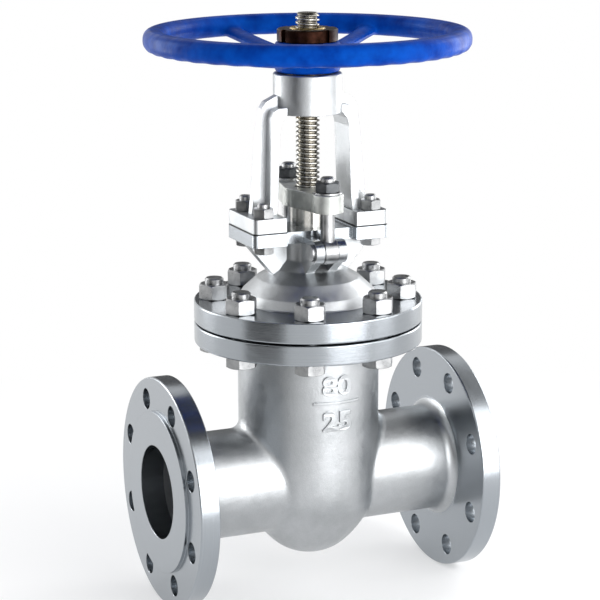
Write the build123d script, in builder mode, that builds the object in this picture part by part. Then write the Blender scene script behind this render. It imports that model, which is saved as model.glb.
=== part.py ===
from build123d import *
import math
import os

os.makedirs("parts", exist_ok=True)

# Flanged rising-stem wedge gate valve, DN 80, closed.
# Frame: origin at the centre of the inlet face, +X along the pipe towards the
# outlet, +Z up along the stem, +Y to the back. Millimetres.

# ---- driving dimensions: pipe flanges -----------------------------------
FACE_TO_FACE = 280.0
BORE_R = 40.0
PIPE_WALL = 6.0
PIPE_FLANGE_R = 97.5
PIPE_FLANGE_T = 20.0
RAISED_R = 69.0
RAISED_H = 3.0
PIPE_PCD = 160.0
PIPE_HOLES = 8
PIPE_HOLE_R = 9.0

# ---- driving dimensions: body -------------------------------------------
CHAMBER_R = 51.0
BARREL_WALL = 9.5
BOWL_DEPTH = 75.0
BOWL_CENTRE_Z = 5.0
BODY_TOP_Z = 137.0
BODY_FLANGE_T = 17.0
JOINT_R = 97.5
JOINT_PCD = 160.0
JOINT_BOLTS = 8
JOINT_HOLE_R = 8.75
GASKET_T = 1.5
GASKET_R_OUT = 70.5
GASKET_R_IN = 54.0

# ---- driving dimensions: gate and seats ---------------------------------
WEDGE_DEG = 5.0
GATE_HALF_T = 14.0
GATE_R = 46.5
SEAT_WALL = 6.0
SEAT_BACK = 26.0
BOSS_BACKOFF = 2.5
BOSS_R = 50.0
RIB_HALF = 4.0
RIB_INNER = 42.6
LIFT = 88.0

# ---- driving dimensions: heights, each measured from the piece below it --
BONNET_FLANGE_T = 17.5
BUSH_RISE = 16.0
BUSH_H = 8.0
BOX_FLOOR_RISE = 4.0
BOX_R = 15.0
BOX_WASHER_T = 2.0
RING_H = 5.2
RINGS = 5
BOX_FREE_H = 8.0
PLATE_T = 11.5
PLATE_X = 61.5
PLATE_Y = 30.0
FOOT_T = 12.5
WINDOW_H = 83.0
HUB_H = 33.3
HUB_R = 29.0
YOKE_BOLT_X = 49.0
YOKE_BOLT_Y = 20.0
GLAND_RISE = 25.2
GLAND_FLANGE_T = 15.4
EYE_DROP = 5.0
EYE_Y = 41.0
EYE_ROD_R = 6.0
EYE_OVER_FLANGE = 13.9

# ---- driving dimensions: stem and handwheel -----------------------------
STEM_R = 10.0
STEM_OVER_NUT = 13.1
THREAD_CLEAR = 0.3
COLLAR_R = 14.0
WHEEL_R = 137.0
WHEEL_GAP = 2.4
WHEEL_HUB_R = 27.5
WHEEL_HUB_H = 23.5
RIM_RISE = 16.3
RIM_H = 18.5
RIM_WIDTH = 19.0
RIM_ROUND = 7.0
SPOKES = 6
SPOKE_START = 40.0
LOCK_NUT_R = 25.5
LOCK_NUT_H = 10.7
LOCK_SLOT_START = -75.0
LOCK_SLOT_W = 6.0

FIT = 0.3
RUN = 0.05

# ---- values worked out from the sizes above -----------------------------
XC = FACE_TO_FACE / 2
TAN = math.tan(math.radians(WEDGE_DEG))
COS = math.cos(math.radians(WEDGE_DEG))
PIPE_R = BORE_R + PIPE_WALL
BARREL_R = CHAMBER_R + BARREL_WALL
SEAT_R_OUT = BORE_R + SEAT_WALL
GASKET_Z1 = BODY_TOP_Z + GASKET_T
BONNET_Z1 = GASKET_Z1 + BONNET_FLANGE_T
BUSH_Z0 = BONNET_Z1 + BUSH_RISE
BUSH_Z1 = BUSH_Z0 + BUSH_H
# the stem's collar cone meets the bushing when the gate is fully up
COLLAR_CONE_Z = BUSH_Z0 - LIFT
BOX_FLOOR_Z = BUSH_Z1 + BOX_FLOOR_RISE
PACK_Z0 = BOX_FLOOR_Z + BOX_WASHER_T
PACK_Z1 = PACK_Z0 + RINGS * RING_H
PLATE_Z1 = PACK_Z1 + BOX_FREE_H
PLATE_Z0 = PLATE_Z1 - PLATE_T
FOOT_TOP_Z = PLATE_Z1 + FOOT_T
GLAND_FLANGE_Z0 = PACK_Z1 + GLAND_RISE
GLAND_FLANGE_Z1 = GLAND_FLANGE_Z0 + GLAND_FLANGE_T
EYE_Z = PLATE_Z0 - EYE_DROP
EYE_TOP_Z = GLAND_FLANGE_Z1 + EYE_OVER_FLANGE
HUB_Z0 = FOOT_TOP_Z + WINDOW_H
HUB_Z1 = HUB_Z0 + HUB_H
NUT_COLLAR_Z0 = HUB_Z0 + 8.5
NUT_COLLAR_Z1 = NUT_COLLAR_Z0 + 13.0
WASHER_T = 2.0
HUB_RECESS_Z = NUT_COLLAR_Z0 - WASHER_T
RETAINER_Z0 = NUT_COLLAR_Z1 + WASHER_T
WHEEL_HUB_Z0 = HUB_Z1 + WHEEL_GAP
WHEEL_HUB_Z1 = WHEEL_HUB_Z0 + WHEEL_HUB_H
RIM_Z0 = WHEEL_HUB_Z0 + RIM_RISE
RIM_Z1 = RIM_Z0 + RIM_H
LOCK_NUT_Z1 = WHEEL_HUB_Z1 + LOCK_NUT_H
STEM_TOP_Z = LOCK_NUT_Z1 + STEM_OVER_NUT
SLEEVE_R = 15.0
SHOULDER_R = 18.0
SLEEVE_TOP_Z = LOCK_NUT_Z1 + 1.0
NUT_BOTTOM_Z = HUB_Z0 - 1.5


def ring(r_out, r_in, z0, z1):
    """A plain ring round the stem axis."""
    with BuildSketch(Plane.XY.offset(z0)) as sk:
        with Locations((XC, 0)):
            Circle(r_out)
            Circle(r_in, mode=Mode.SUBTRACT)
    extrude(sk.sketch, amount=z1 - z0)


def disc(r, z0, z1, mode=Mode.ADD, x=XC, y=0.0):
    """A plain upright cylinder."""
    with BuildSketch(Plane.XY.offset(z0)) as sk:
        with Locations((x, y)):
            Circle(r)
    extrude(sk.sketch, amount=z1 - z0, mode=mode)


def pipe_disc(r, x0, x1, mode=Mode.ADD):
    """A plain cylinder along the pipe axis."""
    with BuildSketch(Plane.YZ.offset(x0)) as sk:
        Circle(r)
    extrude(sk.sketch, amount=x1 - x0, mode=mode)


def bar_x(r, x0, x1, y, z, mode=Mode.ADD):
    """A cylinder along X at a given height."""
    with BuildSketch(Plane.YZ.offset(x0)) as sk:
        with Locations((y, z)):
            Circle(r)
    extrude(sk.sketch, amount=x1 - x0, mode=mode)


def turned(points, mode=Mode.ADD):
    """A profile of (radius, z) points turned about the stem axis."""
    with BuildSketch(Plane.XZ.offset(0)) as sk:
        with BuildLine() as ln:
            Polyline([(XC + r, z) for r, z in points], close=True)
        make_face()
    revolve(sk.sketch, axis=Axis((XC, 0, 0), (0, 0, 1)), revolution_arc=360, mode=mode)


def block(x0, x1, y0, y1, z0, z1, mode=Mode.ADD):
    """A plain box between given limits."""
    with BuildSketch(Plane.XY.offset(z0)) as sk:
        with Locations(((x0 + x1) / 2, (y0 + y1) / 2)):
            Rectangle(x1 - x0, y1 - y0)
    extrude(sk.sketch, amount=z1 - z0, mode=mode)


def wedge_prism(half_t, z0, z1, half_y, mode):
    """The tapered space between two seat planes, thicker at the top."""
    low = half_t + z0 * TAN
    high = half_t + z1 * TAN
    with BuildSketch(Plane.XZ.offset(-half_y)) as sk:
        with BuildLine() as ln:
            Polyline(
                (XC - low, z0),
                (XC + low, z0),
                (XC + high, z1),
                (XC - high, z1),
                close=True,
            )
        make_face()
    extrude(sk.sketch, amount=2 * half_y, mode=mode)


def ring_angles(count):
    """Bolt angles that straddle the main axes."""
    return [(k + 0.5) * 360.0 / count for k in range(count)]


def circle_spots(pcd, count):
    """Centres of a bolt circle round the stem axis."""
    spots = []
    for a in ring_angles(count):
        t = math.radians(a)
        spots.append((XC + pcd / 2 * math.cos(t), pcd / 2 * math.sin(t)))
    return spots


def hexagon(across_flats, z0, z1, x, y, turn=0.0, mode=Mode.ADD):
    """A plain hexagonal prism with chamfer-free ends."""
    with BuildSketch(Plane.XY.offset(z0)) as sk:
        with Locations((x, y)):
            RegularPolygon(across_flats / 2, 6, major_radius=False, rotation=turn)
    extrude(sk.sketch, amount=z1 - z0, mode=mode)


def hex_nut(across_flats, bore_r, z0, z1, x, y, turn=0.0):
    """A hexagon nut or head with chamfered corners on both faces."""
    corner = across_flats / math.sqrt(3)
    cut = corner - across_flats / 2 * 0.97
    hexagon(across_flats, z0, z1, x, y, turn)
    for z, inward in ((z0, 1), (z1, -1)):
        with BuildSketch(Plane((x, y, z), x_dir=(1, 0, 0), z_dir=(0, -1, 0))) as sk:
            with BuildLine() as ln:
                Polyline(
                    (corner - cut, 0),
                    (corner + 0.5, 0),
                    (corner + 0.5, inward * (cut + 0.5) * 0.55),
                    close=True,
                )
            make_face()
        revolve(sk.sketch, axis=Axis((x, y, z), (0, 0, 1)), mode=Mode.SUBTRACT)
    if bore_r:
        disc(bore_r, z0 - 1, z1 + 1, Mode.SUBTRACT, x, y)


# ---- body ---------------------------------------------------------------
def bowl_face(radius, depth, z_top):
    """Half section of a barrel with a rounded bottom, to be turned."""
    zc = BOWL_CENTRE_Z
    with BuildSketch(Plane.XZ) as sk:
        with BuildLine() as ln:
            Line((XC, zc - depth), (XC, z_top))
            Line((XC, z_top), (XC + radius, z_top))
            Line((XC + radius, z_top), (XC + radius, zc))
            Spline(
                (XC, zc - depth),
                (XC + 0.5 * radius, zc - 0.866 * depth),
                (XC + 0.866 * radius, zc - 0.5 * depth),
                (XC + radius, zc),
                tangents=((1, 0), (0, 1)),
            )
        make_face()
    revolve(sk.sketch, axis=Axis((XC, 0, 0), (0, 0, 1)))


with BuildPart() as bosses:
    # the two seat bosses that reach in from the pipe ends
    pipe_disc(BOSS_R, XC - 70, XC + 70)
    wedge_prism(GATE_HALF_T + BOSS_BACKOFF / COS, -80, 80, 60, Mode.SUBTRACT)

with BuildPart() as chamber:
    # the hollow inside the body, less the bosses and the guide ribs
    bowl_face(CHAMBER_R, BOWL_DEPTH - 12.0, BODY_TOP_Z + 5)
    add(bosses.part, mode=Mode.SUBTRACT)
    for side in (-1, 1):
        y0, y1 = sorted((side * RIB_INNER, side * 60.0))
        block(XC - RIB_HALF, XC + RIB_HALF, y0, y1, -30, 118, Mode.SUBTRACT)

with BuildPart() as body:
    bowl_face(BARREL_R, BOWL_DEPTH, BODY_TOP_Z - 2)
    pipe_disc(PIPE_R, PIPE_FLANGE_T - 2, FACE_TO_FACE - PIPE_FLANGE_T + 2)
    join = body.edges().filter_by(GeomType.BSPLINE)
    fillet(join, 9.0)
    for x0, x1 in (
        (RAISED_H, PIPE_FLANGE_T),
        (FACE_TO_FACE - PIPE_FLANGE_T, FACE_TO_FACE - RAISED_H),
    ):
        pipe_disc(PIPE_FLANGE_R, x0, x1)
    neck = [
        e
        for e in body.edges().filter_by(GeomType.CIRCLE)
        if abs(e.radius - PIPE_R) < 0.01
        and min(
            abs(e.center().X - PIPE_FLANGE_T),
            abs(e.center().X - FACE_TO_FACE + PIPE_FLANGE_T),
        )
        < 0.01
    ]
    fillet(neck, 8.0)
    disc(JOINT_R, BODY_TOP_Z - BODY_FLANGE_T, BODY_TOP_Z)
    under = [
        e
        for e in body.edges().filter_by(GeomType.CIRCLE)
        if abs(e.radius - BARREL_R) < 0.01
        and abs(e.center().Z - BODY_TOP_Z + BODY_FLANGE_T) < 0.01
    ]
    fillet(under, 5.0)
    rims = [
        e
        for e in body.edges().filter_by(GeomType.CIRCLE)
        if abs(e.radius - PIPE_FLANGE_R) < 0.01 or abs(e.radius - JOINT_R) < 0.01
    ]
    fillet(rims, 1.2)
    pipe_disc(RAISED_R, 0, RAISED_H + 1)
    pipe_disc(RAISED_R, FACE_TO_FACE - RAISED_H - 1, FACE_TO_FACE)
    add(chamber.part, mode=Mode.SUBTRACT)
    pipe_disc(BORE_R, -1, XC - 10, Mode.SUBTRACT)
    pipe_disc(BORE_R, XC + 10, FACE_TO_FACE + 1, Mode.SUBTRACT)
    pipe_disc(SEAT_R_OUT, XC - SEAT_BACK, XC - 8, Mode.SUBTRACT)
    pipe_disc(SEAT_R_OUT, XC + 8, XC + SEAT_BACK, Mode.SUBTRACT)
    for x, y in circle_spots(JOINT_PCD, JOINT_BOLTS):
        disc(JOINT_HOLE_R, BODY_TOP_Z - 30, BODY_TOP_Z + 1, Mode.SUBTRACT, x, y)
    for x0, x1 in ((-1, PIPE_FLANGE_T + 8), (FACE_TO_FACE - PIPE_FLANGE_T - 8, FACE_TO_FACE + 1)):
        with BuildSketch(Plane.YZ.offset(x0)) as holes:
            with PolarLocations(PIPE_PCD / 2, PIPE_HOLES, start_angle=22.5):
                Circle(PIPE_HOLE_R)
        extrude(amount=x1 - x0, mode=Mode.SUBTRACT)

body.part.label = "body"
export_step(body.part, "parts/body.step")


# ---- seats and gate -----------------------------------------------------
with BuildPart() as seat_ring_inlet:
    pipe_disc(SEAT_R_OUT, XC - SEAT_BACK, XC)
    pipe_disc(BORE_R, XC - SEAT_BACK - 1, XC + 1, Mode.SUBTRACT)
    wedge_prism(GATE_HALF_T, -80, 80, 60, Mode.SUBTRACT)

with BuildPart() as seat_ring_outlet:
    pipe_disc(SEAT_R_OUT, XC, XC + SEAT_BACK)
    pipe_disc(BORE_R, XC - 1, XC + SEAT_BACK + 1, Mode.SUBTRACT)
    wedge_prism(GATE_HALF_T, -80, 80, 60, Mode.SUBTRACT)

T_HEAD_Z0 = 52.0
T_HEAD_Z1 = 60.0
SLOT_Z1 = T_HEAD_Z1 + FIT
GATE_TOP_Z = 66.0

with BuildPart() as gate:
    pipe_disc(GATE_R, XC - 25, XC + 25)
    block(XC - 15, XC + 15, -19, 19, 20, GATE_TOP_Z)
    wedge_prism(GATE_HALF_T, -60, 70, 60, Mode.INTERSECT)
    # relief in the middle of each side, so only the seat ring band is machined
    for x0, x1 in ((XC - 25, XC - 10), (XC + 10, XC + 25)):
        pipe_disc(30.0, x0, x1, Mode.SUBTRACT)
    block(XC - 15, XC + 15, -15, 15, 32, 46)
    block(XC - 25, XC + 25, -13.5, 13.5, T_HEAD_Z0 - FIT, SLOT_Z1, Mode.SUBTRACT)
    block(XC - 25, XC + 25, -7.6, 7.6, SLOT_Z1 - 1, GATE_TOP_Z + 1, Mode.SUBTRACT)
    for side in (-1, 1):
        y0, y1 = sorted((side * (RIB_INNER - 0.6), side * 60.0))
        block(XC - RIB_HALF - 0.5, XC + RIB_HALF + 0.5, y0, y1, -60, 60, Mode.SUBTRACT)

# ---- stem ---------------------------------------------------------------
with BuildPart() as stem:
    disc(STEM_R, T_HEAD_Z1 + 8, STEM_TOP_Z)
    turned(
        [
            (0, COLLAR_CONE_Z - 6),
            (COLLAR_R, COLLAR_CONE_Z - 6),
            (COLLAR_R, COLLAR_CONE_Z),
            (STEM_R, COLLAR_CONE_Z + 4),
            (0, COLLAR_CONE_Z + 4),
        ]
    )
    block(XC - 7.0, XC + 7.0, -7.0, 7.0, T_HEAD_Z0 + 4, T_HEAD_Z1 + 9)
    block(XC - 9.0, XC + 9.0, -13.0, 13.0, T_HEAD_Z0, T_HEAD_Z1)
    turned(
        [
            (STEM_R - 1.6, STEM_TOP_Z + 1),
            (STEM_R + 1, STEM_TOP_Z + 1),
            (STEM_R + 1, STEM_TOP_Z - 2.6),
        ],
        Mode.SUBTRACT,
    )

# ---- bonnet, gasket, joint bolting --------------------------------------
with BuildPart() as bonnet_gasket:
    ring(GASKET_R_OUT, GASKET_R_IN, BODY_TOP_Z, GASKET_Z1)

with BuildPart() as bonnet:
    turned(
        [
            (0, GASKET_Z1),
            (JOINT_R, GASKET_Z1),
            (JOINT_R, BONNET_Z1),
            (61.0, BONNET_Z1),
            (56.0, BONNET_Z1 + 8),
            (44.0, BONNET_Z1 + 19),
            (30.0, BONNET_Z1 + 27),
            (23.0, BONNET_Z1 + 36),
            (23.0, PLATE_Z0 + 10),
            (0, PLATE_Z0 + 10),
        ]
    )
    soft = [
        e
        for e in bonnet.edges().filter_by(GeomType.CIRCLE)
        if BONNET_Z1 - 0.1 < e.center().Z < BONNET_Z1 + 37 and e.radius < 62
    ]
    fillet(soft, 3.0)
    rims = [
        e
        for e in bonnet.edges().filter_by(GeomType.CIRCLE)
        if abs(e.radius - JOINT_R) < 0.01
    ]
    fillet(rims, 1.2)
    # top plate that carries the yoke feet
    block(XC - PLATE_X, XC + PLATE_X, -22.0, 22.0, PLATE_Z0, PLATE_Z1 - 1.5)
    for side in (-1, 1):
        x0, x1 = sorted((XC + side * 31.5, XC + side * PLATE_X))
        block(x0, x1, -PLATE_Y, PLATE_Y, PLATE_Z0, PLATE_Z1)
    corners = bonnet.edges().filter_by(Axis.Z).filter_by(
        lambda e: abs(abs(e.center().X - XC) - PLATE_X) < 0.01 and abs(abs(e.center().Y) - PLATE_Y) < 0.01
    )
    fillet(corners, 4.0)
    # web under each end of the plate
    for side in (-1, 1):
        with BuildSketch(Plane.XZ.offset(-6)) as web:
            with BuildLine() as ln:
                Polyline(
                    (XC + side * 15, PLATE_Z0 + 2),
                    (XC + side * 56, PLATE_Z0 + 2),
                    (XC + side * 56, PLATE_Z0 - 3),
                    (XC + side * 33, BONNET_Z1 + 22),
                    (XC + side * 15, BONNET_Z1 + 20),
                    close=True,
                )
            make_face()
        extrude(amount=12)
    # swing-bolt ears
    for fb in (-1, 1):
        for side in (-1, 1):
            x0, x1 = sorted((XC + side * 6.3, XC + side * 14.0))
            bar_x(10.0, x0, x1, fb * EYE_Y, EYE_Z)
            with BuildSketch(Plane.YZ.offset(x0)) as ear:
                with BuildLine() as ln:
                    Polyline(
                        (fb * 12, EYE_Z + 10),
                        (fb * EYE_Y, EYE_Z + 10),
                        (fb * EYE_Y, EYE_Z - 10),
                        (fb * 22, EYE_Z - 24),
                        (fb * 12, EYE_Z - 24),
                        close=True,
                    )
                make_face()
            extrude(amount=x1 - x0)
    # inside: chamber roof, bush pocket, stuffing box
    turned(
        [
            (0, GASKET_Z1 - 1),
            (CHAMBER_R, GASKET_Z1 - 1),
            (CHAMBER_R, GASKET_Z1 + 8),
            (44.0, GASKET_Z1 + 16),
            (31.0, GASKET_Z1 + 25),
            (20.0, GASKET_Z1 + 31),
            (17.0, BUSH_Z0),
            (17.0, BUSH_Z1),
            (0, BUSH_Z1),
        ],
        Mode.SUBTRACT,
    )
    disc(12.5, BUSH_Z1 - 1, BOX_FLOOR_Z + 1, Mode.SUBTRACT)
    disc(BOX_R, BOX_FLOOR_Z, PLATE_Z1 + 2, Mode.SUBTRACT)
    for fb in (-1, 1):
        # room for the swing-bolt eye, and the pin bore through both ears
        with BuildSketch(Plane.YZ.offset(XC - 6.3)) as room:
            with Locations((fb * EYE_Y, EYE_Z)):
                Circle(12.5)
        extrude(amount=12.6, mode=Mode.SUBTRACT)
        block(XC - 6.3, XC + 6.3, *sorted((fb * 33.0, fb * 60.0)), EYE_Z, PLATE_Z1 + 2, Mode.SUBTRACT)
        bar_x(5.0, XC - 20, XC + 20, fb * EYE_Y, EYE_Z, Mode.SUBTRACT)
    for x, y in circle_spots(JOINT_PCD, JOINT_BOLTS):
        disc(JOINT_HOLE_R, GASKET_Z1 - 1, BONNET_Z1 + 6, Mode.SUBTRACT, x, y)
    for sx in (-1, 1):
        for sy in (-1, 1):
            disc(
                5.5,
                PLATE_Z0 - 1,
                PLATE_Z1 + 1,
                Mode.SUBTRACT,
                XC + sx * YOKE_BOLT_X,
                sy * YOKE_BOLT_Y,
            )

JOINT_HEAD_Z = BODY_TOP_Z - BODY_FLANGE_T
JOINT_NUT_H = 13.0
JOINT_BOLT_TOP = BONNET_Z1 + JOINT_NUT_H + 5.0

with BuildPart() as bonnet_bolts:
    for x, y in circle_spots(JOINT_PCD, JOINT_BOLTS):
        hex_nut(24.0, 0, JOINT_HEAD_Z - 10.0, JOINT_HEAD_Z, x, y)
        disc(8.0, JOINT_HEAD_Z - 1, JOINT_BOLT_TOP, Mode.ADD, x, y)
    tips = [
        e
        for e in bonnet_bolts.edges().filter_by(GeomType.CIRCLE)
        if abs(e.center().Z - JOINT_BOLT_TOP) < 0.01
    ]
    chamfer(tips, 1.2)

with BuildPart() as bonnet_nuts:
    for x, y in circle_spots(JOINT_PCD, JOINT_BOLTS):
        hex_nut(24.0, 8.0, BONNET_Z1, BONNET_Z1 + JOINT_NUT_H, x, y)

with BuildPart() as backseat_bushing:
    turned(
        [
            (STEM_R + FIT + 4.3, BUSH_Z0),
            (17.0, BUSH_Z0),
            (17.0, BUSH_Z1),
            (STEM_R + FIT, BUSH_Z1),
            (STEM_R + FIT, BUSH_Z0 + 4.3),
        ]
    )

# ---- stuffing box -------------------------------------------------------
with BuildPart() as packing_washer:
    ring(BOX_R - 0.1, STEM_R + FIT, BOX_FLOOR_Z, PACK_Z0)

PACKING = []
for k in range(RINGS):
    with BuildPart() as packing:
        ring(BOX_R, STEM_R + RUN, PACK_Z0 + k * RING_H, PACK_Z0 + (k + 1) * RING_H)
    PACKING.append(packing)

with BuildPart() as gland:
    ring(BOX_R - 0.3, STEM_R + FIT, PACK_Z1, GLAND_FLANGE_Z0 + 8.8)

with BuildPart() as gland_flange:
    with BuildSketch(Plane.XY.offset(GLAND_FLANGE_Z0)) as oval:
        with Locations((XC, 0)):
            Circle(21.0)
        with Locations((XC, EYE_Y), (XC, -EYE_Y)):
            Circle(13.3)
        with BuildLine() as ln:
            Polyline(
                (XC - 19.6, 8),
                (XC - 13.0, EYE_Y - 4),
                (XC + 13.0, EYE_Y - 4),
                (XC + 19.6, 8),
                (XC + 19.6, -8),
                (XC + 13.0, -EYE_Y + 4),
                (XC - 13.0, -EYE_Y + 4),
                (XC - 19.6, -8),
                close=True,
            )
        make_face()
    extrude(amount=GLAND_FLANGE_Z1 - GLAND_FLANGE_Z0)
    fillet(gland_flange.faces().sort_by(Axis.Z)[-1].outer_wire().edges(), 1.2)
    disc(BOX_R - 0.3, GLAND_FLANGE_Z0 - 1, GLAND_FLANGE_Z0 + 8.8, Mode.SUBTRACT)
    disc(STEM_R + 1.5, GLAND_FLANGE_Z0, GLAND_FLANGE_Z1 + 1, Mode.SUBTRACT)
    for fb in (-1, 1):
        disc(
            EYE_ROD_R + 1.0,
            GLAND_FLANGE_Z0 - 1,
            GLAND_FLANGE_Z1 + 1,
            Mode.SUBTRACT,
            XC,
            fb * EYE_Y,
        )

GLAND_WASHER_Z1 = GLAND_FLANGE_Z1 + 1.6
GLAND_NUT_Z1 = GLAND_WASHER_Z1 + 8.3

with BuildPart() as gland_washers:
    for fb in (-1, 1):
        disc(12.0, GLAND_FLANGE_Z1, GLAND_WASHER_Z1, Mode.ADD, XC, fb * EYE_Y)
        disc(
            EYE_ROD_R + 0.5,
            GLAND_FLANGE_Z1 - 1,
            GLAND_WASHER_Z1 + 1,
            Mode.SUBTRACT,
            XC,
            fb * EYE_Y,
        )

SWING = {}
for fb, place in ((-1, "front"), (1, "rear")):
    with BuildPart() as eyebolt:
        bar_x(10.5, XC - 5.8, XC + 5.8, fb * EYE_Y, EYE_Z)
        disc(EYE_ROD_R, EYE_Z + 6, EYE_TOP_Z, Mode.ADD, XC, fb * EYE_Y)
        tip = [
            e
            for e in eyebolt.edges().filter_by(GeomType.CIRCLE)
            if abs(e.center().Z - EYE_TOP_Z) < 0.01
        ]
        chamfer(tip, 1.2)
        bar_x(5.1, XC - 20, XC + 20, fb * EYE_Y, EYE_Z, Mode.SUBTRACT)
    SWING["eyebolt_" + place] = eyebolt
    with BuildPart() as eyebolt_pin:
        bar_x(5.0, XC - 15.5, XC + 14.0, fb * EYE_Y, EYE_Z)
        bar_x(7.0, XC - 16.5, XC - 14.0, fb * EYE_Y, EYE_Z)
    SWING["eyebolt_pin_" + place] = eyebolt_pin
    with BuildPart() as gland_nut:
        hex_nut(
            19.0,
            EYE_ROD_R + RUN,
            GLAND_WASHER_Z1,
            GLAND_NUT_Z1,
            XC,
            fb * EYE_Y,
            0.0 if fb < 0 else 10.0,
        )
    SWING["gland_nut_" + place] = gland_nut

# ---- yoke ---------------------------------------------------------------
with BuildPart() as yoke:
    disc(HUB_R, HUB_Z0, HUB_Z1)
    for side in (-1, 1):
        # inner plate of the T-section, running up and bending into the hub
        with BuildSketch(Plane.XZ.offset(-15)) as plate:
            with BuildLine() as ln:
                Polyline(
                    (XC + side * 35.0, FOOT_TOP_Z - 6),
                    (XC + side * 33.4, FOOT_TOP_Z + 12),
                    (XC + side * 31.4, HUB_Z0 - 12),
                    (XC + side * 29.8, HUB_Z0 - 5),
                    (XC + side * 25.0, HUB_Z0 + 0.5),
                    (XC + side * 20.0, HUB_Z0 + 0.5),
                    (XC + side * 20.0, HUB_Z0 + 6.5),
                    (XC + side * 32.5, HUB_Z0 + 6.0),
                    (XC + side * 37.0, HUB_Z0 + 3.6),
                    (XC + side * 39.0, HUB_Z0 - 2.0),
                    (XC + side * 39.4, HUB_Z0 - 12),
                    (XC + side * 40.6, FOOT_TOP_Z + 12),
                    (XC + side * 42.5, FOOT_TOP_Z - 6),
                    close=True,
                )
            make_face()
        extrude(amount=30)
        # outer web of the T-section
        with BuildSketch(Plane.XZ.offset(-4)) as web:
            with BuildLine() as ln:
                Polyline(
                    (XC + side * 38.0, FOOT_TOP_Z - 6),
                    (XC + side * 36.0, HUB_Z0 - 4),
                    (XC + side * 24.0, HUB_Z0 + 4),
                    (XC + side * 24.0, HUB_Z0 + 17.5),
                    (XC + side * 28.5, HUB_Z0 + 16.0),
                    (XC + side * 39.6, HUB_Z0 + 10.8),
                    (XC + side * 43.4, HUB_Z0 + 5.2),
                    (XC + side * 46.8, HUB_Z0 - 19.5),
                    (XC + side * 49.1, HUB_Z0 - 48.5),
                    (XC + side * 52.1, FOOT_TOP_Z + 5.5),
                    (XC + side * 53.5, FOOT_TOP_Z - 6),
                    close=True,
                )
            make_face()
        extrude(amount=8)
        # foot
        x0, x1 = sorted((XC + side * 32.0, XC + side * 61.0))
        block(x0, x1, -PLATE_Y, PLATE_Y, PLATE_Z1, FOOT_TOP_Z)
    corners = yoke.edges().filter_by(Axis.Z).filter_by(
        lambda e: abs(abs(e.center().X - XC) - 61.0) < 0.01 and abs(abs(e.center().Y) - PLATE_Y) < 0.01
    )
    fillet(corners, 4.0)
    rims = [
        e
        for e in yoke.edges().filter_by(GeomType.CIRCLE)
        if abs(e.center().Z - HUB_Z1) < 0.01 and abs(e.radius - HUB_R) < 0.01
    ]
    fillet(rims, 1.5)
    disc(SLEEVE_R + FIT, HUB_Z0 - 2, HUB_Z1 + 1, Mode.SUBTRACT)
    disc(22.0, HUB_RECESS_Z, HUB_Z1 + 1, Mode.SUBTRACT)
    for sx in (-1, 1):
        for sy in (-1, 1):
            disc(
                5.5,
                PLATE_Z1 - 1,
                FOOT_TOP_Z + 1,
                Mode.SUBTRACT,
                XC + sx * YOKE_BOLT_X,
                sy * YOKE_BOLT_Y,
            )

YOKE_SPOTS = [
    (XC + sx * YOKE_BOLT_X, sy * YOKE_BOLT_Y) for sx in (-1, 1) for sy in (-1, 1)
]

with BuildPart() as yoke_bolts:
    for x, y in YOKE_SPOTS:
        hex_nut(16.0, 0, PLATE_Z0 - 6.4, PLATE_Z0, x, y, 12.0)
        disc(5.0, PLATE_Z0 - 1, FOOT_TOP_Z + 12.5, Mode.ADD, x, y)
    tips = [
        e
        for e in yoke_bolts.edges().filter_by(GeomType.CIRCLE)
        if abs(e.center().Z - FOOT_TOP_Z - 12.5) < 0.01
    ]
    chamfer(tips, 1.0)

with BuildPart() as yoke_nuts:
    for x, y in YOKE_SPOTS:
        hex_nut(16.0, 5.0, FOOT_TOP_Z, FOOT_TOP_Z + 8.4, x, y, 12.0)

# ---- stem nut and its bearings ------------------------------------------
with BuildPart() as thrust_washer_lower:
    ring(21.7, SLEEVE_R + FIT, HUB_RECESS_Z, NUT_COLLAR_Z0)

with BuildPart() as thrust_washer_upper:
    ring(21.7, SHOULDER_R + FIT, NUT_COLLAR_Z1, RETAINER_Z0)

with BuildPart() as yoke_retainer_ring:
    ring(22.0, SHOULDER_R + FIT, RETAINER_Z0, HUB_Z1 - 0.6)
    for a in (0, 90, 180, 270):
        t = math.radians(a)
        x = XC + 20.2 * math.cos(t)
        y = 20.2 * math.sin(t)
        disc(1.1, HUB_Z1 - 3.0, HUB_Z1 + 1, Mode.SUBTRACT, x, y)

KEY_Z0 = WHEEL_HUB_Z0 + 1.0
KEY_Z1 = WHEEL_HUB_Z1 - 1.0

with BuildPart() as stem_nut:
    disc(SLEEVE_R, NUT_BOTTOM_Z, NUT_COLLAR_Z0 + 1)
    disc(21.4, NUT_COLLAR_Z0, NUT_COLLAR_Z1)
    disc(SHOULDER_R, NUT_COLLAR_Z1 - 1, WHEEL_HUB_Z0)
    disc(SLEEVE_R, WHEEL_HUB_Z0 - 1, SLEEVE_TOP_Z)
    top = [
        e
        for e in stem_nut.edges().filter_by(GeomType.CIRCLE)
        if abs(e.center().Z - SLEEVE_TOP_Z) < 0.01
    ]
    chamfer(top, 1.0)
    block(XC - 2.5, XC + 2.5, -SLEEVE_R - 1, -SLEEVE_R + 1.8, KEY_Z0, KEY_Z1, Mode.SUBTRACT)
    disc(STEM_R + THREAD_CLEAR, NUT_BOTTOM_Z - 1, SLEEVE_TOP_Z + 1, Mode.SUBTRACT)

# ---- handwheel ----------------------------------------------------------
RIM_MID_R = WHEEL_R - RIM_WIDTH / 2
RIM_MID_Z = (RIM_Z0 + RIM_Z1) / 2

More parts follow.
